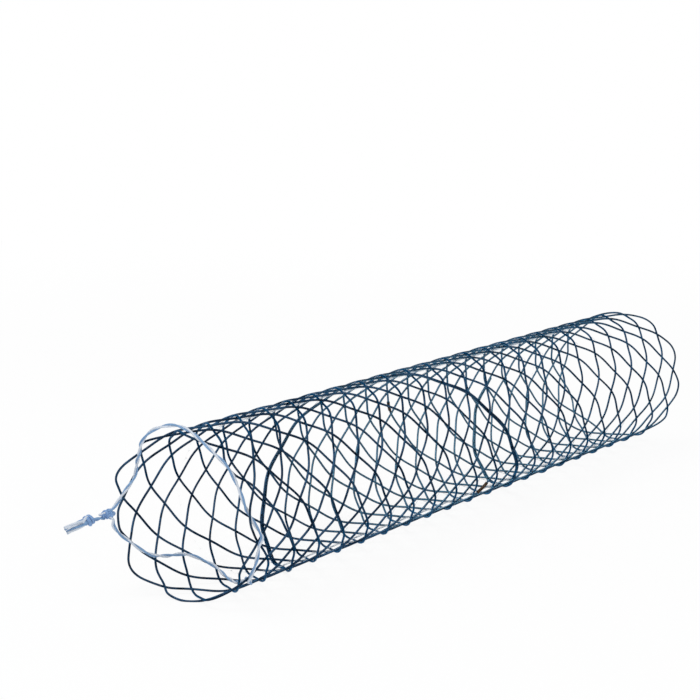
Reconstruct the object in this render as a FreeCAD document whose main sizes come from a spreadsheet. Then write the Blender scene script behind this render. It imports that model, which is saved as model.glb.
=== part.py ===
import FreeCAD, Part
import Sketcher
import math
import os

# Covered biliary stent: a tube braided from one long nitinol wire, lined with a
# clear silicone film, with a retrieval thread laced through its near crown loops.
# Millimetres. The tube lies on its side. X runs along it from the near mouth to the
# far one, Z is up, and the origin is on the axis at the middle of the length.

V = FreeCAD.Vector
doc = FreeCAD.newDocument("covered_biliary_stent")

# Driving sizes: lengths in millimetres, counts and lattice places as plain numbers
SIZES = [
    ("outer_diameter", 10.0),
    ("overall_length", 60.0),
    ("wire_diameter", 0.14),
    ("crossing_gap", 0.02),
    ("crown_loops", 10),
    ("braid_rows", 43),
    ("crown_radius", 1.1),
    ("lap_gap", 0.02),
    ("lap_rows", 26),
    ("film_wall", 0.08),
    ("film_clearance", 0.02),
    ("film_margin", 6.5),
    ("marker_length", 1.0),
    ("marker_wall", 0.04),
    ("marker_clearance", 0.01),
    ("thread_diameter", 0.25),
    ("thread_clearance", 0.03),
    ("first_knot_length", 0.9),
    ("first_knot_width", 0.65),
    ("second_knot_width", 0.7),
    ("knot_spacing", 1.25),
    ("tail_length", 1.6),
    ("tail_gap", 0.3),
]
sheet = doc.addObject("Spreadsheet::Sheet", "Sizes")
for row, (alias, value) in enumerate(SIZES, start=1):
    sheet.set(f"A{row}", alias)
    sheet.set(f"B{row}", str(value))
    sheet.setAlias(f"B{row}", alias)
doc.recompute()


def size(alias):
    return float(sheet.get(alias))


outer_diameter = size("outer_diameter")
overall_length = size("overall_length")
wire_diameter = size("wire_diameter")
crown_radius = size("crown_radius")
thread_diameter = size("thread_diameter")
crown_loops = int(round(size("crown_loops")))
braid_rows = int(round(size("braid_rows")))
lap_rows = int(round(size("lap_rows")))

# Braid cylinder: at every crossing one strand stands out and the other in by the
# crossing step, about the mean radius of the wire's centre line
wire_radius = wire_diameter / 2
crossing_step = (wire_diameter + size("crossing_gap")) / 2
mean_radius = outer_diameter / 2 - wire_radius - crossing_step
column_angle = math.pi / crown_loops
column_width = mean_radius * column_angle

# The lowest line of the tube lies midway between two columns of crossings
LOWEST_COLUMN = 6.5


def crown_inset(row_pitch):
    lean = math.atan2(column_width, row_pitch)
    return crown_radius * (1 / math.sin(lean) - 1)


# Row pitch that brings the rounded crowns to the overall length
row_pitch = overall_length / braid_rows
for _ in range(12):
    row_pitch = (overall_length - wire_diameter + 2 * crown_inset(row_pitch)) / braid_rows
first_row_x = wire_radius - crown_inset(row_pitch) - overall_length / 2
strand_lean = math.atan2(column_width, row_pitch)


def column_turn(column):
    return -math.pi / 2 + (LOWEST_COLUMN - column) * column_angle


def on_tube(column, row, radius):
    """Point at a column and row of the braid lattice, at a radius from the axis."""
    turn = column_turn(column)
    return V(first_row_x + row * row_pitch, radius * math.cos(turn), radius * math.sin(turn))


def outward(point):
    return V(0, point.y, point.z).normalize()


def check_solid(shape, what):
    if shape.isNull() or not shape.isValid() or shape.Volume <= 0:
        raise RuntimeError(f"{what} is not a valid solid")
    return shape


# Braid wire

WIRE_FACETS = 4
CROWN_ARC_STEPS = 3
CUT_END = 0.4          # share of a row by which a cut end stands past its crossing
LAP_FIRST_COLUMN = 7   # crossing beside which the wire starts
LAP_FIRST_ROW = 7


def strand_row(step):
    """Row reached after a number of steps, and whether the wire is running away."""
    phase = (LAP_FIRST_ROW + step) % (2 * braid_rows)
    if phase <= braid_rows:
        return phase, True
    return 2 * braid_rows - phase, False


def crossing_radius(column, running_away):
    """The strand that runs away stands out at even columns, the other at odd ones."""
    stands_out = (column % 2 == 0) == running_away
    return mean_radius + (crossing_step if stands_out else -crossing_step)


def crown_points(column, row):
    """Rounded turn of the wire at either mouth, in the direction of falling columns."""
    toward_middle = 1 if row == 0 else -1
    apex_depth = crown_radius / math.sin(strand_lean)
    half_turn = math.pi / 2 - strand_lean
    points = []
    for step in range(CROWN_ARC_STEPS + 1):
        turn = half_turn * (1 - 2 * step / CROWN_ARC_STEPS)
        depth = apex_depth - crown_radius * math.cos(turn)
        aside = crown_radius * math.sin(turn) / column_width
        points.append(on_tube(column + aside, row + toward_middle * depth / row_pitch, mean_radius))
    return points


def lapped_point(column, row):
    """Place of the lapping end, beside the strand that it doubles at a crossing."""
    crossing = on_tube(column, row, crossing_radius(column, False))
    next_one = on_tube(column + 1, row + 1, crossing_radius(column + 1, False))
    along = (next_one - crossing).normalize()
    side_step = (wire_diameter + size("lap_gap")) / math.sin(2 * strand_lean)
    point = crossing + along * side_step
    over = 1 if crossing_radius(column, True) > mean_radius else -1
    return point + outward(point) * (2 * crossing_step * over)


def between(start, end, share):
    return start + (end - start) * share


def wire_route(first_column, steps_round):
    """Corners of one wire from its first cut end, round the braid, to its lapping end."""
    def plain_point(step):
        row, away = strand_row(step)
        column = first_column - step
        return on_tube(column, row, crossing_radius(column, away))

    points = [between(plain_point(0), plain_point(-1), CUT_END)]
    for step in range(steps_round):
        row, away = strand_row(step)
        if row in (0, braid_rows):
            points += crown_points(first_column - step, row)
        else:
            points.append(plain_point(step))
    lapped = []
    for step in range(steps_round, steps_round + lap_rows + 2):
        row, away = strand_row(step)
        lapped.append(lapped_point(first_column - step, row))
    aside = lapped[0] - plain_point(steps_round)
    points.append(between(plain_point(steps_round), plain_point(steps_round - 1), 0.5) + aside)
    points += lapped[:-1]
    points.append(between(lapped[-2], lapped[-1], CUT_END))
    return points


def section_on(plane_point, plane_normal, direction, section):
    """Carry a section along a direction until it meets a plane."""
    lean = direction.dot(plane_normal)
    return [p + direction * ((plane_point - p).dot(plane_normal) / lean) for p in section]


def solid_of_rings(rings):
    """Closed solid whose rings of corners are joined by flat faces."""
    facets = len(rings[0])
    corners = [[Part.Vertex(p) for p in ring] for ring in rings]
    hoops = [[Part.Edge(ring[n], ring[(n + 1) % facets]) for n in range(facets)] for ring in corners]
    rails = [[Part.Edge(a[n], b[n]) for n in range(facets)] for a, b in zip(corners, corners[1:])]
    faces = [Part.Face(Part.Wire(hoops[0])), Part.Face(Part.Wire(hoops[-1]))]
    for ring, sides in enumerate(rails):
        for n in range(facets):
            edges = [hoops[ring][n], sides[(n + 1) % facets], hoops[ring + 1][n], sides[n]]
            faces.append(Part.Face(Part.Wire(edges)))
    shell = Part.Shell(faces)
    shell.sewShape()
    solid = Part.Solid(shell)
    if solid.Volume < 0:
        solid.reverse()
    return solid


def mitred_rod(route, radius, facets):
    """Faceted rod along straight runs, mitred where they meet."""
    runs = [(b - a).normalize() for a, b in zip(route, route[1:])]
    side = runs[0].cross(outward(route[0])).normalize()
    up = side.cross(runs[0])
    turns = [2 * math.pi * (n + 0.5) / facets for n in range(facets)]
    section = [route[0] + side * (radius * math.cos(t)) + up * (radius * math.sin(t)) for t in turns]
    rings = [section]
    for n in range(1, len(route)):
        normal = runs[n - 1] if n == len(runs) else (runs[n - 1] + runs[n]).normalize()
        section = section_on(route[n], normal, runs[n - 1], section)
        rings.append(section)
    return solid_of_rings(rings)


def braid_wires():
    """One wire fills the whole lattice when its rows and loops share no divisor."""
    wire_count = math.gcd(braid_rows, crown_loops)
    steps_round = 2 * braid_rows * crown_loops // wire_count
    routes = [wire_route(LAP_FIRST_COLUMN + 2 * n, steps_round) for n in range(wire_count)]
    rods = [mitred_rod(route, wire_radius, WIRE_FACETS) for route in routes]
    return rods[0] if wire_count == 1 else Part.makeCompound(rods)


def place(thing, point, direction):
    """Set a thing whose own axis is Z at a point, with that axis along a direction."""
    thing.Placement = FreeCAD.Placement(point, FreeCAD.Rotation(V(0, 0, 1), direction))


def bind(thing, **formulas):
    for name, formula in formulas.items():
        thing.setExpression(name, formula)


braid = doc.addObject("Part::Feature", "braid_wire")
braid.Label = "braid_wire"
braid.Shape = braid_wires()

# Cover film: a thin tube that lines the braid and leaves the crown loops bare. Its
# outer face lies just inside the least radius that wires and markers reach.

STEP = "((Sizes.wire_diameter + Sizes.crossing_gap) / 2)"
MEAN = f"(Sizes.outer_diameter / 2 - Sizes.wire_diameter / 2 - {STEP})"
COLUMN = "(180 deg / round(Sizes.crown_loops))"
RUN = f"sqrt(({MEAN} - {STEP}) ^ 2 + ({MEAN} + {STEP}) ^ 2 - 2 * ({MEAN} ^ 2 - {STEP} ^ 2) * cos({COLUMN}))"
REACH = f"(({MEAN} ^ 2 - {STEP} ^ 2) * sin({COLUMN}) / {RUN})"
SLEEVE = "(Sizes.wire_diameter / 2 + Sizes.marker_clearance + Sizes.marker_wall)"
FILM_OUTER = f"({REACH} - {SLEEVE} - Sizes.film_clearance)"

film = doc.addObject("PartDesign::Body", "cover_film")
film.Label = "cover_film"
cross_plane = next(f for f in film.Origin.OriginFeatures if f.Role == "YZ_Plane")
film_ring = film.newObject("Sketcher::SketchObject", "film_ring")
film_ring.AttachmentSupport = [(cross_plane, "")]
film_ring.MapMode = "FlatFace"
for name, formula in (("outer", FILM_OUTER), ("inner", f"{FILM_OUTER} - Sizes.film_wall")):
    circle = film_ring.addGeometry(Part.Circle(V(0, 0, 0), V(0, 0, 1), mean_radius))
    film_ring.addConstraint(Sketcher.Constraint("Coincident", circle, 3, -1, 1))
    radius = film_ring.addConstraint(Sketcher.Constraint("Radius", circle, mean_radius))
    film_ring.renameConstraint(radius, name)
    film_ring.setExpression(f"Constraints.{name}", formula)
film_length = film.newObject("PartDesign::Pad", "film_length")
film_length.Profile = film_ring
film_length.Midplane = True
film_length.setExpression("Length", "Sizes.overall_length - 2 * Sizes.film_margin")

# Marker sleeves: two short metal sleeves on the wire at mid length, one on either
# side, each on the run from its crossing to the next one along, crimped to facets

# Name, column and row of the crossing, and share of the run at the sleeve's middle
MARKERS = [("marker_sleeve_front", 9, 21, 0.3), ("marker_sleeve_back", 0, 22, 0.7)]
CRIMP_FACETS = 8


def marker_sleeve(name, column, row, share):
    start = on_tube(column, row, crossing_radius(column, False))
    end = on_tube(column + 1, row + 1, crossing_radius(column + 1, False))
    shell = doc.addObject("Part::Prism", name + "_shell")
    shell.Polygon = CRIMP_FACETS
    bind(shell, Circumradius=SLEEVE, Height="Sizes.marker_length")
    bore = doc.addObject("Part::Prism", name + "_bore")
    bore.Polygon = CRIMP_FACETS
    bind(bore, Circumradius=f"{SLEEVE} - Sizes.marker_wall", Height="Sizes.marker_length")
    sleeve = doc.addObject("Part::Cut", name)
    sleeve.Base = shell
    sleeve.Tool = bore
    sleeve.Label = name
    along = (end - start).normalize()
    place(sleeve, between(start, end, share) - along * (size("marker_length") / 2), along)
    return sleeve


markers = [marker_sleeve(*marker) for marker in MARKERS]

# Retrieval thread: one thread laced round the near mouth, partly outside the braid
# and partly within it, tied by two knots that leave a short tail of two strands

ARCH_RISE = 1.6        # rise of the free arch above the braid, in thread diameters
thread_radius = thread_diameter / 2
OUTSIDE = outer_diameter / 2 + size("thread_clearance") + thread_radius
INSIDE = mean_radius - crossing_step - wire_radius - size("thread_clearance") - thread_radius
RIM = mean_radius
HALF_ARCH = OUTSIDE + thread_radius
ARCH = OUTSIDE + ARCH_RISE * thread_diameter

# Column and row of the braid, and radius, at each bend of the thread
THREAD_ROUTE = [
    (1.60, 0.00, RIM),
    (1.40, 0.18, INSIDE),
    (0.95, 0.72, INSIDE),
    (0.30, 1.28, INSIDE),
    (-0.50, 0.93, INSIDE),
    (-1.35, 0.30, INSIDE),
    (-1.90, -0.05, RIM),
    (-2.45, 0.05, HALF_ARCH),
    (-3.30, 0.15, ARCH),
    (-3.95, 0.18, HALF_ARCH),
    (-4.55, -0.02, OUTSIDE),
    (-5.40, -0.24, OUTSIDE),
    (-6.08, -0.18, OUTSIDE),
    (-6.78, 0.05, RIM),
    (-7.45, 0.05, RIM),
    (-7.84, 0.48, INSIDE),
    (-8.45, 0.95, INSIDE),
    (-8.70, 1.06, RIM),
    (-8.90, 0.90, OUTSIDE),
    (-9.08, 0.64, OUTSIDE),
    (-9.40, 0.66, OUTSIDE),
    (-10.00, 0.78, OUTSIDE),
    (-10.62, 1.00, OUTSIDE),
    (-10.88, 1.42, OUTSIDE),
    (-11.12, 1.86, RIM),
    (-11.46, 2.16, INSIDE),
    (-13.05, 3.50, INSIDE),
    (-13.89, 4.10, INSIDE),
    (-14.68, 4.50, INSIDE),
    (-15.44, 4.17, INSIDE),
    (-15.82, 3.50, INSIDE),
    (-15.97, 2.60, INSIDE),
    (-16.20, 1.80, INSIDE),
    (-16.55, 1.32, INSIDE),
    (-17.10, 0.82, INSIDE),
    (-17.50, 0.40, INSIDE),
    (-17.86, 0.14, INSIDE),
    (-18.13, 0.09, INSIDE),
    (-18.25, 0.02, RIM),
]
KNOT_PLACE = (1.66, 0.00, RIM)
TAIL_LIE = V(-0.9, 0.35, -0.20).normalize()
THREAD_FACETS = 6
BEND_SHARE = 0.4       # share of the shorter run that a bend takes at each end
LINK_FULLNESS = 1.5    # width of the twisted stretch between the knots, in threads
KNOT_FACETS = 8
KNOT_PROFILE = [(-0.5, 0.35), (-0.3, 0.85), (0.0, 1.0), (0.3, 0.85), (0.5, 0.35)]


def eased_bends(points):
    """Replace each bend by the two ends and the middle of the arc tangent to its runs."""
    eased = [points[0]]
    for before, corner, after in zip(points, points[1:], points[2:]):
        back = before - corner
        ahead = after - corner
        trim = BEND_SHARE * min(back.Length, ahead.Length)
        back.normalize()
        ahead.normalize()
        half = back.getAngle(ahead) / 2
        middle = (back + ahead).normalize() * (trim / math.cos(half) - trim * math.tan(half))
        eased += [corner + back * trim, corner + middle, corner + ahead * trim]
    return eased + [points[-1]]


def knot_barrel(centre, length, width):
    """Faceted barrel whose rings follow the knot's profile along the tail's direction."""
    side = TAIL_LIE.cross(V(0, 0, 1)).normalize()
    up = side.cross(TAIL_LIE)
    turns = [2 * math.pi * n / KNOT_FACETS for n in range(KNOT_FACETS)]
    rings = []
    for along, share in KNOT_PROFILE:
        middle = centre + TAIL_LIE * (along * length)
        reach = share * width / 2
        rings.append([middle + side * (reach * math.cos(t)) + up * (reach * math.sin(t)) for t in turns])
    return solid_of_rings(rings)


first_knot_centre = on_tube(*KNOT_PLACE)
second_knot_centre = first_knot_centre + TAIL_LIE * size("knot_spacing")
spread = V(0, 0, size("tail_gap") / 2)
tail_end = second_knot_centre + TAIL_LIE * size("tail_length")
thread_solids = [
    ("thread_loop", mitred_rod(eased_bends([on_tube(*bend) for bend in THREAD_ROUTE]),
                               thread_radius, THREAD_FACETS)),
    ("first_knot", knot_barrel(first_knot_centre, size("first_knot_length"), size("first_knot_width"))),
    ("knot_link", mitred_rod([first_knot_centre, second_knot_centre],
                             LINK_FULLNESS * thread_radius, THREAD_FACETS)),
    ("second_knot", knot_barrel(second_knot_centre, size("second_knot_width"), size("second_knot_width"))),
    ("upper_tail", mitred_rod([second_knot_centre, tail_end + spread], thread_radius, THREAD_FACETS)),
    ("lower_tail", mitred_rod([second_knot_centre, tail_end - spread], thread_radius, THREAD_FACETS)),
]
stretches = []
for name, solid in thread_solids:
    stretch = doc.addObject("Part::Feature", name)
    stretch.Shape = solid
    stretches.append(stretch)
thread = doc.addObject("Part::MultiFuse", "retrieval_thread")
thread.Label = "retrieval_thread"
thread.Shapes = stretches

doc.recompute()
for thing in doc.Objects:
    if {"Invalid", "Error"} & set(thing.State):
        raise RuntimeError(f"{thing.Label} did not recompute")

nodes = [braid, film, thread] + markers
for node in nodes:
    check_solid(node.Shape, node.Label)

os.makedirs("parts", exist_ok=True)
for node in nodes:
    node.Shape.exportStep(f"parts/{node.Label}.step")
    print(node.Label, len(node.Shape.Solids), round(node.Shape.Volume, 3))
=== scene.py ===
import math
import random

import bmesh
import bpy
from mathutils import Matrix, Vector, noise


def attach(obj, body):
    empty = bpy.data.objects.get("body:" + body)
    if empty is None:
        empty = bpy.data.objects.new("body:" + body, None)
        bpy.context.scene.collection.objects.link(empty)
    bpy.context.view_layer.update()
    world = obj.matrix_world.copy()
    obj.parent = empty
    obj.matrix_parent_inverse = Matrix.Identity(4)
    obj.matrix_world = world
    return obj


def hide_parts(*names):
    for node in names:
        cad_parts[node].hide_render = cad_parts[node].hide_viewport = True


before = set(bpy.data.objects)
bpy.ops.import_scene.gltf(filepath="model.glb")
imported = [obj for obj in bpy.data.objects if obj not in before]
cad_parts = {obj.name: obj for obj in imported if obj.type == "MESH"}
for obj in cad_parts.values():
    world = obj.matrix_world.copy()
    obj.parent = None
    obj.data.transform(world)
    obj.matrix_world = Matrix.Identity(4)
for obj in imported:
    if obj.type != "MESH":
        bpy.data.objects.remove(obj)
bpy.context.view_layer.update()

# Covered biliary stent. Lengths are in millimetres here and become metres in the mesh.
# X runs along the tube from the near mouth, Z is up, and the origin is on the axis.

MM = 0.001
rng = random.Random(27)

OUTER_DIAMETER = 10.0
WIRE_RADIUS = 0.07
CROSSING_STEP = 0.08
ROWS = 43
LOOPS = 10
MEAN_RADIUS = OUTER_DIAMETER / 2 - WIRE_RADIUS - CROSSING_STEP
COLUMN_ANGLE = math.pi / LOOPS
COLUMN_WIDTH = MEAN_RADIUS * COLUMN_ANGLE
LOWEST_COLUMN = 6.5
CROWN_RADIUS = 1.1
ROW_PITCH = 1.410654
FIRST_ROW_X = -30.329051
LEAN = math.atan2(COLUMN_WIDTH, ROW_PITCH)
FILM_OUTER = 4.6232
FILM_INNER = 4.5432
FILM_END = 23.5
THREAD_RADIUS = 0.125
THREAD_CLEARANCE = 0.03


# The braid lattice: columns of crossings round the tube, and rows of them along it

MEAN_CROWN_ROW = CROWN_RADIUS * (1 / math.sin(LEAN) - 1) / ROW_PITCH
CROWN_SPREAD = 0.12    # most rows by which a far crown differs from the mean
NEAR_CROWN_ROWS = [0.22, 0.87, 0.33, 0.80, 0.45, 0.17, 0.24, 0.10, 0.40, 0.12]
FAR_CROWN_ROWS = [MEAN_CROWN_ROW + rng.uniform(-CROWN_SPREAD, CROWN_SPREAD) for _ in range(LOOPS)]
CROWN_REACH = 1.6      # rows over which a crown's own depth fades into the braid
# Crossings of the first row that have moved: column, and shift in columns and rows
NEAR_CROSSINGS = {
    1: (0.13, 0.05), 3: (-0.15, 0.08), 5: (0.12, 0.10), 11: (0.05, -0.18), 13: (0.12, 0.09),
}
NEAR_ROWS = 3          # rows from the near mouth that these shifts reach
NEAR_BREADTH = 0.5     # squared distance, in columns and rows, over which they fade
# Column, breadth in columns and rows by which the braid has slid along there
SLID_LINES = [(15.8, 1.6, 0.19), (10.3, 1.3, -0.14)]
SLID_FROM, SLID_TO = 3, 41
SLID_FADE = 3          # rows over which the sliding grows from nothing at either end
# The general unevenness: its coarseness round and along the tube, and its strength in columns
# and in rows. Its noise has no set seed, so each run draws it a little differently.
DRIFT_ROUND = 1.9
DRIFT_ALONG = 0.42
COLUMN_DRIFT = 0.03
ROW_DRIFT = 0.035


def columns_apart(a, b):
    return (a - b + LOOPS) % (2 * LOOPS) - LOOPS


def smooth(t):
    t = min(max(t, 0.0), 1.0)
    return t * t * (3 - 2 * t)


def crown_shift(column, depths):
    """How much deeper than the mean the crown is at a column, in rows."""
    place = (column / 2) % LOOPS
    first = int(math.floor(place))
    share = smooth(place - first)
    low, high = depths[first % LOOPS], depths[(first + 1) % LOOPS]
    return low + (high - low) * share - MEAN_CROWN_ROW


def settled(column, row):
    """A lattice place moved as the real braid is: uneven crowns and slightly uneven cells."""
    near = max(0.0, 1 - row / CROWN_REACH) ** 2
    far = max(0.0, 1 - (ROWS - row) / CROWN_REACH) ** 2
    row_shift = 0.0
    if near > 0:
        row_shift += near * crown_shift(column, NEAR_CROWN_ROWS)
    if far > 0:
        row_shift -= far * crown_shift(column - 1, FAR_CROWN_ROWS)
    along = smooth((row - SLID_FROM) / SLID_FADE) * smooth((SLID_TO - row) / SLID_FADE)
    for line, breadth, slid in SLID_LINES:
        row_shift += along * slid * math.exp(-(columns_apart(column, line) / breadth) ** 2)
    column_shift = 0.0
    if row < NEAR_ROWS:
        for line, (aside, deeper) in NEAR_CROSSINGS.items():
            apart = columns_apart(column, line) ** 2 + (row - 1) ** 2
            share = math.exp(-apart / NEAR_BREADTH)
            column_shift += share * aside
            row_shift += share * deeper
    turn = column * COLUMN_ANGLE
    drift = noise.noise_vector(Vector((
        DRIFT_ROUND * math.cos(turn), DRIFT_ROUND * math.sin(turn), row * DRIFT_ALONG)))
    return column + column_shift + COLUMN_DRIFT * drift.x, row + row_shift + ROW_DRIFT * drift.y


def on_tube(column, row, radius, uneven=True):
    if uneven:
        column, row = settled(column, row)
    turn = -math.pi / 2 + (LOWEST_COLUMN - column) * COLUMN_ANGLE
    return Vector((FIRST_ROW_X + row * ROW_PITCH, radius * math.cos(turn), radius * math.sin(turn)))


# The one wire: round the braid from its cut end, then beside its own start

LAP_FIRST_COLUMN = 7   # crossing beside which the wire starts
LAP_FIRST_ROW = 7
LAP_ROWS = 26
LAP_GAP = 0.02
LAP_ASIDE = (2 * WIRE_RADIUS + LAP_GAP) / math.sin(2 * LEAN) * math.sin(LEAN) / COLUMN_WIDTH
CUT_END = 0.4          # share of a row by which a cut end stands past its crossing
CUT_SAMPLES = 4
RUN_SAMPLES = 7
ARC_SAMPLES = 9


def crossing_offset(column, running_away):
    """+1 where the strand stands out at a crossing, and -1 where it lies in."""
    return 1.0 if (column % 2 == 0) == running_away else -1.0


def row_after(step):
    """Row reached after a number of steps, and whether the wire is running away."""
    phase = (LAP_FIRST_ROW + step) % (2 * ROWS)
    return (phase, True) if phase <= ROWS else (2 * ROWS - phase, False)


def eased(a, b, t):
    return a + (b - a) * (1 - math.cos(math.pi * t)) / 2


def crown_arc(column, row):
    """Lattice places along a rounded crown loop, in the direction of falling columns."""
    inward = 1 if row == 0 else -1
    half = math.pi / 2 - LEAN
    apex = CROWN_RADIUS / math.sin(LEAN)
    places = []
    for n in range(ARC_SAMPLES + 1):
        turn = half * (1 - 2 * n / ARC_SAMPLES)
        aside = CROWN_RADIUS * math.sin(turn) / COLUMN_WIDTH
        depth = (apex - CROWN_RADIUS * math.cos(turn)) / ROW_PITCH
        places.append((column + aside, row + inward * depth, n / ARC_SAMPLES))
    return places


def wire_places():
    """(column, row, offset) all along the one wire, with both of its cut ends."""
    steps = 2 * ROWS * LOOPS
    arc_share = CROWN_RADIUS * math.cos(LEAN) / COLUMN_WIDTH
    out = []
    for n in range(CUT_SAMPLES):
        back = CUT_END * (1 - n / CUT_SAMPLES)
        out.append((LAP_FIRST_COLUMN + back, LAP_FIRST_ROW - back, eased(1.0, -1.0, 1 - back)))
    for step in range(steps + LAP_ROWS + 1):
        row, away = row_after(step)
        column = LAP_FIRST_COLUMN - step
        next_row, next_away = row_after(step + 1)
        here_crown = row in (0, ROWS)
        next_crown = next_row in (0, ROWS)
        here = 0.0 if here_crown else crossing_offset(column, away)
        there = 0.0 if next_crown else crossing_offset(column - 1, next_away)
        start = arc_share if here_crown else 0.0
        end = 1 - arc_share if next_crown else 1.0
        if here_crown:
            before = crossing_offset(column + 1, row == ROWS)
            for c, r, t in crown_arc(column, row):
                reach = arc_share * (2 * t - 1)
                out.append((c, r, eased(before, there, 0.5 + reach / 2)))
        for n in range(RUN_SAMPLES):
            t = start + (end - start) * n / RUN_SAMPLES
            if here_crown and n == 0:
                continue
            if here_crown:
                offset = eased(-there, there, 0.5 + t / 2)
            elif next_crown:
                offset = eased(here, -here, t / 2)
            else:
                offset = eased(here, there, t)
            if step == steps + LAP_ROWS and t > CUT_END:
                return out
            aside = LAP_ASIDE * (smooth(t) if step == steps - 1 else float(step >= steps))
            out.append((column - t + aside, row + (next_row - row) * t + aside, offset))
    return out


def wire_point(column, row, offset):
    return on_tube(column, row, MEAN_RADIUS + CROSSING_STEP * offset)


# Lines and round tubes

SLANT = Vector((0.3, 0.9, 0.31))   # a direction that no line here starts along
DOME = ((0.85, 0.45), (0.45, 0.86))   # reach and radius of a domed end's rings, in radii


def sampled_curve(knots, per_run):
    """Catmull-Rom points through tuples of numbers, with even sampling in every run."""
    padded = [tuple(2 * a - b for a, b in zip(knots[0], knots[1]))] + list(knots)
    padded.append(tuple(2 * a - b for a, b in zip(knots[-1], knots[-2])))
    out = []
    for p0, p1, p2, p3 in zip(padded, padded[1:], padded[2:], padded[3:]):
        for n in range(per_run):
            t = n / per_run
            out.append(tuple(
                0.5 * (2 * b + (c - a) * t + (2 * a - 5 * b + 4 * c - d) * t * t
                       + (3 * b - a - 3 * c + d) * t ** 3)
                for a, b, c, d in zip(p0, p1, p2, p3)))
    out.append(tuple(knots[-1]))
    return out


def evenly(points, gap):
    """The same line with its points a fixed distance apart."""
    lengths = [0.0]
    for a, b in zip(points, points[1:]):
        lengths.append(lengths[-1] + (b - a).length)
    count = max(2, int(round(lengths[-1] / gap)))
    out, k = [], 0
    for n in range(count + 1):
        want = lengths[-1] * n / count
        while k < len(lengths) - 2 and lengths[k + 1] < want:
            k += 1
        span = lengths[k + 1] - lengths[k]
        share = 0.0 if span == 0 else (want - lengths[k]) / span
        out.append(points[k].lerp(points[k + 1], share))
    return out


def carried_frames(points, first_side=None):
    """A tangent, a side and an up at each point, carried along without twist."""
    frames = []
    side = first_side
    if side is None:
        side = SLANT.cross(points[1] - points[0]).normalized()
    for n in range(len(points)):
        ahead = points[min(n + 1, len(points) - 1)] - points[max(n - 1, 0)]
        ahead.normalize()
        side = (side - ahead * side.dot(ahead)).normalized()
        frames.append((ahead, side, ahead.cross(side)))
    return frames


def ring_into(mesh, middle, side, up, radius, sides):
    return [
        mesh.verts.new((middle + (side * math.cos(a) + up * math.sin(a)) * radius) * MM)
        for a in (2 * math.pi * k / sides for k in range(sides))
    ]


def tube_into(mesh, points, radius, sides, dome=True):
    """Adds a round tube along the points, in millimetres, with a UV map. Its ends may be domed."""
    frames = carried_frames(points)
    radii = radius if isinstance(radius, list) else [radius] * len(points)
    stations = list(zip(points, frames, radii))
    if dome:
        p, f, r = stations[0]
        q, g, s = stations[-1]
        head = [(p - f[0] * (r * reach), f, r * wide) for reach, wide in DOME]
        tail = [(q + g[0] * (s * reach), g, s * wide) for reach, wide in reversed(DOME)]
        stations = head + stations + tail
    rings, along, walked = [], [], 0.0
    last = None
    for p, (_, side, up), r in stations:
        if last is not None:
            walked += (p - last).length
        last = p
        along.append(walked)
        rings.append(ring_into(mesh, p, side, up, r, sides))
    layer = mesh.loops.layers.uv.active or mesh.loops.layers.uv.new("along")
    for n, (a, b) in enumerate(zip(rings, rings[1:])):
        for k in range(sides):
            face = mesh.faces.new((a[k], a[(k + 1) % sides], b[(k + 1) % sides], b[k]))
            face.smooth = True
            corners = ((k, n), (k + 1, n), (k + 1, n + 1), (k, n + 1))
            for loop, (kk, nn) in zip(face.loops, corners):
                loop[layer].uv = (kk / sides, along[nn])
    mesh.faces.new(list(reversed(rings[0]))).smooth = True
    mesh.faces.new(rings[-1]).smooth = True


def finished(name, mesh, material, slot, *nodes):
    bmesh.ops.recalc_face_normals(mesh, faces=mesh.faces)
    data = bpy.data.meshes.new(name)
    mesh.to_mesh(data)
    mesh.free()
    data.materials.append(material)
    piece = bpy.data.objects.new(name, data)
    bpy.context.scene.collection.objects.link(piece)
    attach(piece, "root")
    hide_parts(*nodes)


# Materials. Their object coordinates are in metres.

FINE_RELIEF = 0.00001  # height of every material's bumps


def new_material(name):
    material = bpy.data.materials.new(name)
    material.use_nodes = True
    tree = material.node_tree
    return material, tree, tree.nodes["Principled BSDF"]


def node(tree, kind, **settings):
    made = tree.nodes.new(kind)
    for name, value in settings.items():
        setattr(made, name, value)
    return made


def feed(tree, socket, value):
    """Sets a socket to a number or colour, or links another node's output to it."""
    if isinstance(value, (int, float, tuple)):
        socket.default_value = value
    else:
        tree.links.new(value, socket)


def feed_each(tree, made, inputs):
    for name, value in inputs.items():
        feed(tree, made.inputs[name], value)


def math_node(tree, operation, a, b=None, clamp=False):
    made = node(tree, "ShaderNodeMath", operation=operation, use_clamp=clamp)
    for socket, value in zip(made.inputs, (a, b)):
        if value is not None:
            feed(tree, socket, value)
    return made.outputs[0]


def map_range(tree, value, low, high, to_low=0.0, to_high=1.0):
    made = node(tree, "ShaderNodeMapRange", interpolation_type="SMOOTHSTEP")
    feed_each(tree, made, {"Value": value, "From Min": low, "From Max": high,
                           "To Min": to_low, "To Max": to_high})
    return made.outputs["Result"]


def mixed(tree, factor, first, second):
    """A colour between two others. Sockets 6, 7 and the output 2 are the node's colour ones."""
    made = node(tree, "ShaderNodeMix", data_type="RGBA")
    feed(tree, made.inputs["Factor"], factor)
    feed(tree, made.inputs[6], first)
    feed(tree, made.inputs[7], second)
    return made.outputs[2]


def noise_at(tree, vector, scale, detail=3.0, rough=0.5):
    made = node(tree, "ShaderNodeTexNoise")
    feed_each(tree, made, {"Scale": scale, "Detail": detail, "Roughness": rough, "Vector": vector})
    return made.outputs["Fac"]


def bump(tree, shader, height, strength):
    made = node(tree, "ShaderNodeBump")
    feed_each(tree, made, {"Strength": strength, "Distance": FINE_RELIEF, "Height": height})
    tree.links.new(made.outputs["Normal"], shader.inputs["Normal"])


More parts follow.
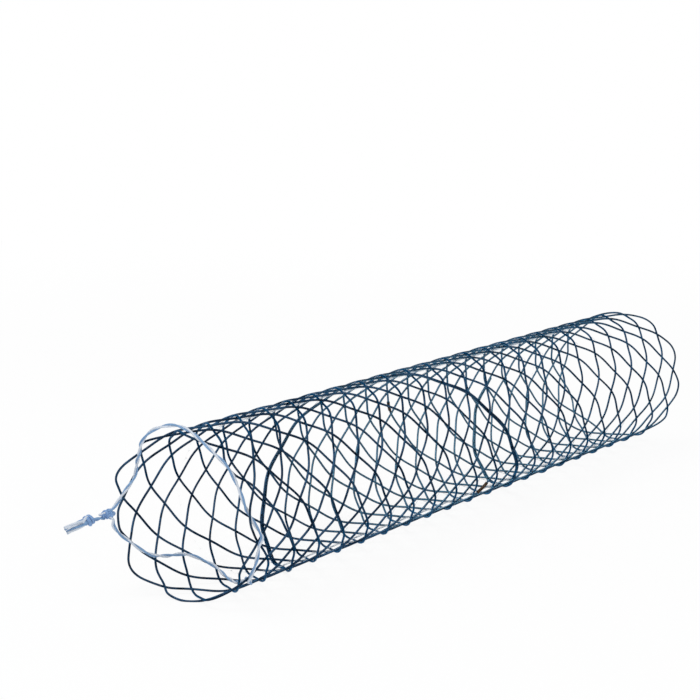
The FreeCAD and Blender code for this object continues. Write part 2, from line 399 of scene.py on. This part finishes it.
NAVY = (0.0095, 0.022, 0.044, 1)
NIGHT = (0.0045, 0.010, 0.019, 1)
BLUE = (0.023, 0.056, 0.106, 1)
# Painted highlight: a paler blue on the wires' inner side that stands for the sheen of the film
# over it
PAINTED_HIGHLIGHT_BLUE = (0.060, 0.135, 0.195, 1)
EDGE = (0.38, 0.60, 0.90, 1)
HIGHLIGHT_SPAN = (-0.016, -0.004)   # X over which the inner side of the wire grows paler with the painted highlight
BLUE_PATCHES = 420.0            # scales of the patches and of the grain
NIGHT_PATCHES = 1100.0
WIRE_GRAIN = 6000.0
INNER_RANGE = (0.35, -0.35)     # from outward to inward facing, over which the painted highlight comes in
BLUE_RANGE = (0.42, 0.62)       # of the patches, over which a colour comes in
NIGHT_RANGE = (0.55, 0.7)
WIRE_ROUGHNESS = (0.3, 0.7, 0.30, 0.46)   # range of the grain, and the roughness it gives


def wire_material():
    """Dark blue oxide outside. The inner side, where the film lines it, is painted a paler blue as
    a highlight of the film's sheen.
    """
    material, tree, shader = new_material("oxidised_wire")
    coords = node(tree, "ShaderNodeTexCoord")
    place = node(tree, "ShaderNodeSeparateXYZ")
    tree.links.new(coords.outputs["Object"], place.inputs["Vector"])
    flat = node(tree, "ShaderNodeCombineXYZ")
    tree.links.new(place.outputs["Y"], flat.inputs["Y"])
    tree.links.new(place.outputs["Z"], flat.inputs["Z"])
    radial = node(tree, "ShaderNodeVectorMath", operation="NORMALIZE")
    tree.links.new(flat.outputs["Vector"], radial.inputs[0])
    facing = node(tree, "ShaderNodeVectorMath", operation="DOT_PRODUCT")
    tree.links.new(radial.outputs["Vector"], facing.inputs[0])
    tree.links.new(coords.outputs["Normal"], facing.inputs[1])
    inner = map_range(tree, facing.outputs["Value"], *INNER_RANGE)
    highlight_along = map_range(tree, place.outputs["X"], *HIGHLIGHT_SPAN)
    # Painted highlight on the inward-facing side of the wire, which grows in from part way along
    # the tube
    painted_highlight = math_node(tree, "MULTIPLY", inner, highlight_along)
    patches = noise_at(tree, coords.outputs["Object"], BLUE_PATCHES)
    outside = mixed(tree, map_range(tree, patches, *BLUE_RANGE), NAVY, BLUE)
    patches = noise_at(tree, coords.outputs["Object"], NIGHT_PATCHES)
    outside = mixed(tree, map_range(tree, patches, *NIGHT_RANGE), outside, NIGHT)
    tree.links.new(mixed(tree, painted_highlight, outside, PAINTED_HIGHLIGHT_BLUE), shader.inputs["Base Color"])
    shader.inputs["Metallic"].default_value = 1.0
    shader.inputs["Specular Tint"].default_value = EDGE
    grain = noise_at(tree, coords.outputs["Object"], WIRE_GRAIN, 4.0, 0.6)
    tree.links.new(map_range(tree, grain, *WIRE_ROUGHNESS), shader.inputs["Roughness"])
    bump(tree, shader, grain, 0.25)
    return material


FILM_BLUE = (0.10, 0.19, 0.28, 1)
FILM_PAINTED_GLINT = (0.42, 0.62, 0.76, 1)
GLINT_RANGE = (0.9, 1.9)     # of the sum of two waves, which is 2 at a crossing
FILM_TURNED = (0.86, 0.95)   # how far it is turned away where it starts to show, and shows most
FILM_SHOWN = 0.8             # its opacity there
RIM_FADE = 0.6               # length over which it fades out at either end


def film_material():
    """Clear silicone: unseen face on, slate blue edge on, and with a painted glint, paler, over
    each crossing.
    """
    material, tree, shader = new_material("clear_film")
    coords = node(tree, "ShaderNodeTexCoord")
    weight = node(tree, "ShaderNodeLayerWeight")
    weight.inputs["Blend"].default_value = 0.5
    place = node(tree, "ShaderNodeSeparateXYZ")
    tree.links.new(coords.outputs["Object"], place.inputs["Vector"])
    x, y, z = (place.outputs[axis] for axis in "XYZ")
    turn = math_node(tree, "ARCTAN2", z, y)
    column = math_node(tree, "MULTIPLY", turn, -1 / COLUMN_ANGLE)
    column = math_node(tree, "ADD", column, LOWEST_COLUMN - LOOPS / 2)
    from_first = math_node(tree, "SUBTRACT", x, FIRST_ROW_X * MM)
    row = math_node(tree, "MULTIPLY", from_first, 1 / (ROW_PITCH * MM))
    waves = []
    for operation in ("ADD", "SUBTRACT"):
        angle = math_node(tree, "MULTIPLY", math_node(tree, operation, row, column), math.pi)
        waves.append(math_node(tree, "COSINE", angle))
    # Painted glint: the film's colour turns paler over each crossing
    crossing = map_range(tree, math_node(tree, "ADD", *waves), *GLINT_RANGE)
    tree.links.new(mixed(tree, crossing, FILM_BLUE, FILM_PAINTED_GLINT), shader.inputs["Base Color"])
    edge = map_range(tree, weight.outputs["Facing"], *FILM_TURNED, 0.0, FILM_SHOWN)
    from_middle = math_node(tree, "ABSOLUTE", x)
    inside_rim = map_range(tree, from_middle, FILM_END * MM, (FILM_END - RIM_FADE) * MM)
    tree.links.new(math_node(tree, "MULTIPLY", edge, inside_rim), shader.inputs["Alpha"])
    shader.inputs["Roughness"].default_value = 0.10
    shader.inputs["IOR"].default_value = 1.42
    return material


FIBRES = 5.0           # bands of fibres round a ply
FIBRE_RUN = 1.6        # their scale along it
FIBRE_SLANT = 0.35
THREAD_CLOUDS = 1300.0
BAND_SHARE = 0.45      # share of the colour that follows the bands, and the clouds
CLOUD_SHARE = 0.55
PALE_RANGE = (0.25, 0.75)


def thread_material(name, pale, deep_and_groove_shade):
    """A ply of fine fibres: they run round the ply, and its colour varies along it. The deep colour
    comes in where the fibre bands lie low, partly as the fibres' own darker tone and partly as
    painted shade between them.
    """
    material, tree, shader = new_material(name)
    coords = node(tree, "ShaderNodeTexCoord")
    mapping = node(tree, "ShaderNodeMapping")
    mapping.inputs["Scale"].default_value = (FIBRES, FIBRE_RUN, 1.0)
    mapping.inputs["Rotation"].default_value = (0.0, 0.0, FIBRE_SLANT)
    tree.links.new(coords.outputs["UV"], mapping.inputs["Vector"])
    lines = node(tree, "ShaderNodeTexWave", wave_type="BANDS", bands_direction="X")
    lines.inputs["Scale"].default_value = 1.0
    lines.inputs["Distortion"].default_value = 1.4
    tree.links.new(mapping.outputs["Vector"], lines.inputs["Vector"])
    cloud = noise_at(tree, coords.outputs["Object"], THREAD_CLOUDS)
    # Low in the bands, where the bump lies lowest, the colour turns deep: the fibres' own tone and
    # painted shade between them
    share = math_node(tree, "MULTIPLY", lines.outputs["Fac"], BAND_SHARE)
    clouded = math_node(tree, "MULTIPLY", cloud, CLOUD_SHARE)
    share = math_node(tree, "ADD", share, clouded, clamp=True)
    colour = mixed(tree, map_range(tree, share, *PALE_RANGE), deep_and_groove_shade, pale)
    tree.links.new(colour, shader.inputs["Base Color"])
    shader.inputs["Roughness"].default_value = 0.62
    shader.inputs["Sheen Weight"].default_value = 0.1
    shader.inputs["Sheen Roughness"].default_value = 0.4
    bump(tree, shader, lines.outputs["Fac"], 0.5)
    return material


SLEEVE_DARK = (0.012, 0.008, 0.006, 1)
SLEEVE_BROWN = (0.05, 0.032, 0.02, 1)
SLEEVE_PATCHES = 2500.0
BROWN_RANGE = (0.35, 0.65)
SLEEVE_ROUGHNESS = (0.3, 0.7, 0.28, 0.5)


def marker_material():
    material, tree, shader = new_material("dark_sleeve")
    coords = node(tree, "ShaderNodeTexCoord")
    patches = noise_at(tree, coords.outputs["Object"], SLEEVE_PATCHES, 4.0)
    colour = mixed(tree, map_range(tree, patches, *BROWN_RANGE), SLEEVE_DARK, SLEEVE_BROWN)
    tree.links.new(colour, shader.inputs["Base Color"])
    shader.inputs["Metallic"].default_value = 0.9
    tree.links.new(map_range(tree, patches, *SLEEVE_ROUGHNESS), shader.inputs["Roughness"])
    bump(tree, shader, patches, 0.3)
    return material


wire_finish = wire_material()
film_finish = film_material()
white_finish = thread_material("white_ply", (0.74, 0.79, 0.86, 1), (0.50, 0.58, 0.70, 1))
blue_finish = thread_material("blue_ply", (0.28, 0.46, 0.70, 1), (0.10, 0.22, 0.42, 1))
# The knots' deep colour is darkened further as painted shade in their grooves
knot_finish = thread_material("knot_ply", (0.34, 0.53, 0.82, 1), (0.03, 0.12, 0.34, 1))
marker_finish = marker_material()


# Braided wire

WIRE_SIDES = 8
mesh = bmesh.new()
tube_into(mesh, [wire_point(*place) for place in wire_places()], WIRE_RADIUS, WIRE_SIDES)
finished("braided_wire", mesh, wire_finish, "wire", "braid_wire")


# Clear film, raised along each wire so that it takes the wires in at the crossings

CELL_STEPS = 8
CELL_CROWDING = 0.6    # how much closer together the grid lines lie beside the wires
FILM_TENT = 0.20
FILM_SWELL = 0.18
SWELL_POWER = 4
INNER_LIFT = 0.002     # by which the inner skin stands off the bore
SPARE_ROWS = 1.3       # rows of film made past each end, to be cut off square
CUT_TOLERANCE = 1e-7   # both in metres
RIM_TOLERANCE = 2e-6


def cell_share(number):
    """Place of a grid line within its cell, closer together beside the wires."""
    cell, step = divmod(number, CELL_STEPS)
    t = step / CELL_STEPS
    return cell + t - CELL_CROWDING * math.sin(2 * math.pi * t) / (2 * math.pi)


def film_radius(a, b):
    """The film hangs between the wires like a tent and swells over each crossing."""
    beside_a, beside_b = math.cos(math.pi * a) ** 2, math.cos(math.pi * b) ** 2
    tent = 1 - (1 - beside_a) * (1 - beside_b)
    return FILM_OUTER + FILM_TENT * tent + FILM_SWELL * (beside_a * beside_b) ** SWELL_POWER


def film_mesh():
    """Two skins, closed at the ends, on a grid that follows the wires both ways."""
    mesh = bmesh.new()
    made = {}
    turns = 2 * LOOPS * CELL_STEPS

    def corner(p, q, outer):
        key = (p + q, (p - q) % turns, outer)
        if key not in made:
            a, b = cell_share(p), cell_share(q)
            radius = film_radius(a, b) if outer else FILM_INNER + INNER_LIFT
            made[key] = mesh.verts.new(on_tube(a - b, a + b, radius) * MM)
        return made[key]

    low_row = (-FILM_END - FIRST_ROW_X) / ROW_PITCH - SPARE_ROWS
    high_row = (FILM_END - FIRST_ROW_X) / ROW_PITCH + SPARE_ROWS
    for lead in range(LOOPS * CELL_STEPS):
        # one zigzag line of grid cells per lead, from the near mouth to the far one
        for step in range(-2, ROWS * CELL_STEPS):
            q = step - lead
            for p in (lead + step, lead + step + 1):
                if not low_row <= (p + q) / CELL_STEPS <= high_row:
                    continue
                for outer in (True, False):
                    corners = [corner(p, q, outer), corner(p + 1, q, outer),
                               corner(p + 1, q + 1, outer), corner(p, q + 1, outer)]
                    mesh.faces.new(corners if outer else corners[::-1]).smooth = True
    for end, normal in ((-FILM_END * MM, (-1, 0, 0)), (FILM_END * MM, (1, 0, 0))):
        bmesh.ops.bisect_plane(
            mesh, geom=mesh.verts[:] + mesh.edges[:] + mesh.faces[:], dist=CUT_TOLERANCE,
            plane_co=(end, 0, 0), plane_no=normal, clear_outer=True)
        rim = [e for e in mesh.edges if e.is_boundary
               and all(abs(v.co.x - end) < RIM_TOLERANCE for v in e.verts)]
        bmesh.ops.bridge_loops(mesh, edges=rim)
    return mesh


finished("silicone_film", film_mesh(), film_finish, "film", "cover_film")


# Retrieval thread: two plies twisted about each other, laced through the near loops

OUTSIDE = OUTER_DIAMETER / 2 + THREAD_CLEARANCE + THREAD_RADIUS
INSIDE = MEAN_RADIUS - CROSSING_STEP - WIRE_RADIUS - THREAD_CLEARANCE - THREAD_RADIUS
RIM = MEAN_RADIUS
HALF_ARCH = OUTSIDE + THREAD_RADIUS
ARCH = OUTSIDE + 0.28
NEAR_IN = INSIDE + 0.09
# Column, row and radius at each bend
THREAD_ROUTE = [
    (1.60, 0.00, RIM), (1.40, 0.18, INSIDE), (0.95, 0.72, INSIDE), (0.30, 1.28, INSIDE),
    (-0.50, 0.93, INSIDE), (-1.35, 0.30, INSIDE), (-1.90, -0.05, RIM),
    (-2.45, 0.05, HALF_ARCH), (-3.30, 0.20, ARCH), (-3.95, 0.20, HALF_ARCH),
    (-4.55, -0.02, OUTSIDE), (-5.40, -0.24, OUTSIDE), (-6.08, -0.18, OUTSIDE),
    (-6.78, 0.05, RIM), (-7.45, 0.05, RIM), (-7.84, 0.48, INSIDE), (-8.34, 0.84, INSIDE),
    (-8.60, 0.84, RIM), (-8.80, 0.76, OUTSIDE), (-9.08, 0.62, OUTSIDE),
    (-9.40, 0.66, OUTSIDE), (-10.00, 0.78, OUTSIDE), (-10.62, 1.00, OUTSIDE),
    (-10.88, 1.42, OUTSIDE), (-11.12, 1.86, RIM), (-11.46, 2.16, INSIDE),
    (-13.05, 3.50, INSIDE), (-13.89, 4.10, INSIDE), (-14.68, 4.50, INSIDE),
    (-15.44, 4.17, INSIDE), (-15.82, 3.50, INSIDE), (-15.97, 2.60, INSIDE),
    (-16.20, 1.80, INSIDE), (-16.55, 1.32, INSIDE), (-17.10, 0.78, INSIDE),
    (-17.50, 0.40, NEAR_IN), (-17.86, 0.15, NEAR_IN), (-18.13, 0.09, INSIDE),
    (-18.25, 0.02, RIM),
]
ROUTE_SAMPLES = 14
ROUTE_GAP = 0.055
PLY_RADIUS = 0.064
PLY_OFFSET = 0.053
PLY_SIDES = 8
TWIST_LENGTH = 2.3


def plies(points, twist, ply_offset, first=0.0, count=2):
    """Lines that wind about the given one, once in each twist length."""
    frames = carried_frames(points)
    lines, walked = [[] for _ in range(count)], 0.0
    for n, (point, (_, side, up)) in enumerate(zip(points, frames)):
        if n:
            walked += (point - points[n - 1]).length
        for k, ply in enumerate(lines):
            turn = first + 2 * math.pi * (walked / twist + k / count)
            ply.append(point + (side * math.cos(turn) + up * math.sin(turn)) * ply_offset)
    return lines


meshes = {"white": bmesh.new(), "blue": bmesh.new(), "knot": bmesh.new()}
bends = sampled_curve(THREAD_ROUTE, ROUTE_SAMPLES)
route = evenly([on_tube(*bend, uneven=False) for bend in bends], ROUTE_GAP)
for colour, ply in zip(("white", "blue"), plies(route, TWIST_LENGTH, PLY_OFFSET)):
    tube_into(meshes[colour], ply, PLY_RADIUS, PLY_SIDES)


# Knots and tail. Their places are along the tail, up across it, and aside to the back,
# from the first knot or from the second.

TAIL_LIE = Vector((-0.9, 0.35, -0.20)).normalized()
TAIL_SIDE = TAIL_LIE.cross(Vector((0, 0, 1))).normalized()
TAIL_UP = TAIL_SIDE.cross(TAIL_LIE)
FIRST_KNOT = on_tube(1.66, 0.0, RIM, uneven=False)
KNOT_SPACING = 1.25
STRAND_SAMPLES = 10
STRAND_GAP = 0.04
WRAP_SAMPLES = 28      # points of a wound strand in each turn


def by_knots(along, up, aside=0.0):
    return FIRST_KNOT + TAIL_LIE * along + TAIL_UP * up + TAIL_SIDE * aside


def soft(places):
    """A smooth line through places given by the first knot."""
    points = [tuple(by_knots(*place)) for place in places]
    return evenly([Vector(p) for p in sampled_curve(points, STRAND_SAMPLES)], STRAND_GAP)


def by_second(places):
    """The same places, where they are given by the second knot."""
    return [(KNOT_SPACING + along, *rest) for along, *rest in places]


def wraps(start, end, width, turns, tilt, first, rise):
    """A strand wound about the tail's line, tilted, rising and with a width that varies."""
    points = []
    count = int(turns * WRAP_SAMPLES)
    for n in range(count + 1):
        t = n / count
        angle = first + 2 * math.pi * turns * t
        reach = width(t)
        middle = start + (end - start) * t
        points.append(by_knots(middle + tilt * reach * math.cos(angle),
                               reach * math.cos(angle) + rise * middle, reach * math.sin(angle)))
    return points


def drop_width(t):
    return 0.235 - 0.15 * t * t


def barrel_width(t):
    return 0.14 + 0.12 * math.sin(math.pi * t)


def first_knot():
    """A drop that is full beside the tube and narrows towards the second knot."""
    rise = 0.25
    core = soft([(along, rise * along) for along in (-0.40, -0.15, 0.15, 0.46)])
    radii = [0.08 + 0.15 * math.sin(math.pi * min(1.0, 0.15 + n / 22)) for n in range(len(core))]
    tube_into(meshes["knot"], core, radii, sides=12)
    wound = wraps(-0.34, 0.34, drop_width, turns=2.8, tilt=-0.30, first=0.6, rise=rise)
    tube_into(meshes["knot"], wound, radius=0.092, sides=10)
    # A strand of the white ply laid over the top of the knot as a painted highlight
    glint = soft([(0.18, 0.17, -0.10), (0.36, 0.16, -0.09), (0.50, 0.13, 0.0)])
    tube_into(meshes["white"], glint, radius=0.06, sides=8)


def second_knot():
    """Upright wraps about the tail, over a core of the blue ply that shows between them, partly as
    the thread inside the knot and partly as painted shade in the grooves.
    """
    # The blue core seen between the wraps is partly the thread inside and partly painted shade in
    # the grooves
    core = soft(by_second([(-0.22, 0.02), (0.0, 0.04), (0.26, 0.02)]))
    tube_into(meshes["blue"], core, radius=0.17, sides=10)
    wound = wraps(KNOT_SPACING - 0.26, KNOT_SPACING + 0.25, barrel_width,
                  turns=2.2, tilt=0.15, first=2.2, rise=0.04)
    tube_into(meshes["knot"], wound, radius=0.105, sides=10)
    # A strand of the white ply laid over the top of the knot as a painted highlight
    glint = soft(by_second([(0.10, 0.31, -0.08), (0.29, 0.25, -0.12), (0.40, 0.08, -0.04)]))
    tube_into(meshes["white"], glint, radius=0.085, sides=8)


def knot_link():
    """The twisted stretch between the knots."""
    places = [(0.25, -0.14, -0.05), (0.55, -0.08), (0.80, -0.05), (KNOT_SPACING - 0.15, 0.0)]
    strand = plies(soft(places), twist=0.9, ply_offset=0.05, first=0.4)
    for colour, ply in zip(("knot", "blue"), strand):
        tube_into(meshes[colour], ply, radius=0.062, sides=8)


def tail():
    """Two strands of three plies each that lie close beside each other."""
    for sign, reach in ((1, 1.60), (-1, 1.50)):
        # along, up, spread from the other strand, and aside
        places = [(0.10, 0.04, 0.06, 0.0), (0.50, 0.03, 0.11, 0.02),
                  (1.00, 0.0, 0.13, 0.0), (reach, -0.03, 0.145, 0.0)]
        fan = soft(by_second([(along, up + spread * sign, aside * sign)
                              for along, up, spread, aside in places]))
        strand = plies(fan, twist=3.2, ply_offset=0.068, first=3.6 + sign, count=3)
        for colour, ply in zip(("white", "blue", "white"), strand):
            tube_into(meshes[colour], ply, radius=0.066, sides=8, dome=False)


first_knot()
second_knot()
knot_link()
tail()
# The white ply's mesh also holds the strands laid on the knots as painted highlights
finished("thread_white_ply", meshes["white"], white_finish, "thread", "retrieval_thread")
finished("thread_blue_ply", meshes["blue"], blue_finish, "thread", "retrieval_thread")
finished("thread_knots", meshes["knot"], knot_finish, "thread", "retrieval_thread")


# Marker sleeves on the wire at mid length

# Place along the sleeve and radius, round its closed outline
SLEEVE_PROFILE = [
    (-0.50, 0.080), (-0.50, 0.100), (-0.48, 0.109), (-0.20, 0.105), (0.0, 0.110),
    (0.22, 0.105), (0.48, 0.109), (0.50, 0.100), (0.50, 0.080),
]
SLEEVE_SIDES = 20


def sleeve(name, column, row, share, cad_node):
    """A crimped sleeve that follows the wire on the run from its crossing to the next one along."""
    here = crossing_offset(column, False)
    points = []
    for x, _ in SLEEVE_PROFILE:
        t = share + x / math.hypot(COLUMN_WIDTH, ROW_PITCH)
        points.append(wire_point(column + t, row + t, eased(here, -here, t)))
    mesh = bmesh.new()
    rings = []
    frames = carried_frames(points[::2], Vector((0, 0, 1)))
    for n, (point, (_, radius)) in enumerate(zip(points, SLEEVE_PROFILE)):
        _, side, up = frames[n // 2]
        rings.append(ring_into(mesh, point, side, up, radius, SLEEVE_SIDES))
    for a, b in zip(rings, rings[1:] + rings[:1]):
        for k in range(SLEEVE_SIDES):
            after = (k + 1) % SLEEVE_SIDES
            mesh.faces.new((a[k], a[after], b[after], b[k])).smooth = True
    finished(name, mesh, marker_finish, "marker", cad_node)


sleeve("front_sleeve", column=9, row=21, share=0.3, cad_node="marker_sleeve_front")
sleeve("back_sleeve", column=0, row=22, share=0.7, cad_node="marker_sleeve_back")


# Floor and light. Lengths are in metres here, apart from the floor's height.

ROOM_LIGHT = 0.55      # strength of the white surroundings as a lamp
FLOOR_SIZE = 4.0
FLOOR_RISE = 0.055     # height above the nominal underside, where no crossing lies
# Distances over which the floor turns from shaded to plain white, and its share of white
FLOOR_FADE = (0.05, 0.16, 0.88, 1.0)


def seen_directly(tree):
    """1 for what cameras, mirrors and glass see, and 0 for what lights other surfaces."""
    path = node(tree, "ShaderNodeLightPath")
    seen = math_node(tree, "MAXIMUM", path.outputs["Is Camera Ray"], path.outputs["Is Glossy Ray"])
    return math_node(tree, "MAXIMUM", seen, path.outputs["Is Transmission Ray"])


def white_room():
    """White to look at, and dimmer as a lamp."""
    world = bpy.data.worlds.new("white_room")
    bpy.context.scene.world = world
    world.use_nodes = True
    tree = world.node_tree
    background = tree.nodes["Background"]
    background.inputs["Color"].default_value = (1, 1, 1, 1)
    extra = math_node(tree, "MULTIPLY", seen_directly(tree), 1 - ROOM_LIGHT)
    tree.links.new(math_node(tree, "ADD", extra, ROOM_LIGHT), background.inputs["Strength"])


def floor_material():
    """Pale, with the tube's shadow near it and plain white further away."""
    material, tree, shader = new_material("pale_floor")
    shader.inputs["Base Color"].default_value = (0.96, 0.965, 0.97, 1)
    shader.inputs["Roughness"].default_value = 0.9
    shader.inputs["Specular IOR Level"].default_value = 0.1
    glow = node(tree, "ShaderNodeEmission")
    glow.inputs["Strength"].default_value = 1.0
    blend = node(tree, "ShaderNodeMixShader")
    seen = seen_directly(tree)
    coords = node(tree, "ShaderNodeTexCoord")
    away = node(tree, "ShaderNodeVectorMath", operation="LENGTH")
    tree.links.new(coords.outputs["Object"], away.inputs[0])
    share = map_range(tree, away.outputs["Value"], *FLOOR_FADE)
    tree.links.new(math_node(tree, "MULTIPLY", seen, share), blend.inputs[0])
    tree.links.new(shader.outputs["BSDF"], blend.inputs[1])
    tree.links.new(glow.outputs["Emission"], blend.inputs[2])
    tree.links.new(blend.outputs["Shader"], tree.nodes["Material Output"].inputs["Surface"])
    return material


def softbox(name, where, size, power):
    lamp = bpy.data.lights.new(name, "AREA")
    lamp.shape = "RECTANGLE"
    lamp.size, lamp.size_y = size
    lamp.energy = power
    holder = bpy.data.objects.new(name, lamp)
    holder.location = Vector(where)
    holder.rotation_euler = (-Vector(where)).to_track_quat("-Z", "Y").to_euler()
    bpy.context.scene.collection.objects.link(holder)


white_room()
floor_data = bpy.data.meshes.new("floor")
floor_z = (-OUTER_DIAMETER / 2 + FLOOR_RISE) * MM
half = FLOOR_SIZE / 2
floor_data.from_pydata(
    [(x, y, floor_z) for x, y in ((-half, -half), (half, -half), (half, half), (-half, half))],
    [], [(0, 1, 2, 3)])
floor = bpy.data.objects.new("floor", floor_data)
bpy.context.scene.collection.objects.link(floor)
floor_data.materials.append(floor_material())
softbox("key", where=(-0.10, 0.10, 0.32), size=(0.22, 0.22), power=0.55)
softbox("fill", where=(-0.22, -0.26, 0.12), size=(0.25, 0.18), power=0.25)


# The camera fitted to the photograph's wire crossings, in metres

EYE = (-0.13511505, -0.07445020, 0.03051789)
RIGHT = (0.51746862, -0.85561398, 0.01228588)
DOWN = (-0.12952778, -0.09251345, -0.98725063)
AHEAD = (0.84584205, 0.50927986, -0.15869859)
FOCAL_PIXELS = 2323.7217
FRAME_PIXELS = 700.0
SENSOR = 36.0
lens = bpy.data.cameras.new("camera")
lens.sensor_fit = "HORIZONTAL"
lens.sensor_width = SENSOR
lens.lens = FOCAL_PIXELS / FRAME_PIXELS * SENSOR
lens.clip_start = 0.001
lens.clip_end = 20.0
camera = bpy.data.objects.new("camera", lens)
turned = Matrix((RIGHT, [-x for x in DOWN], [-x for x in AHEAD])).transposed()
camera.matrix_world = Matrix.Translation(EYE) @ turned.to_4x4()
bpy.context.scene.collection.objects.link(camera)
bpy.context.scene.camera = camera
bpy.context.scene.view_settings.view_transform = "Standard"

bpy.context.view_layer.update()
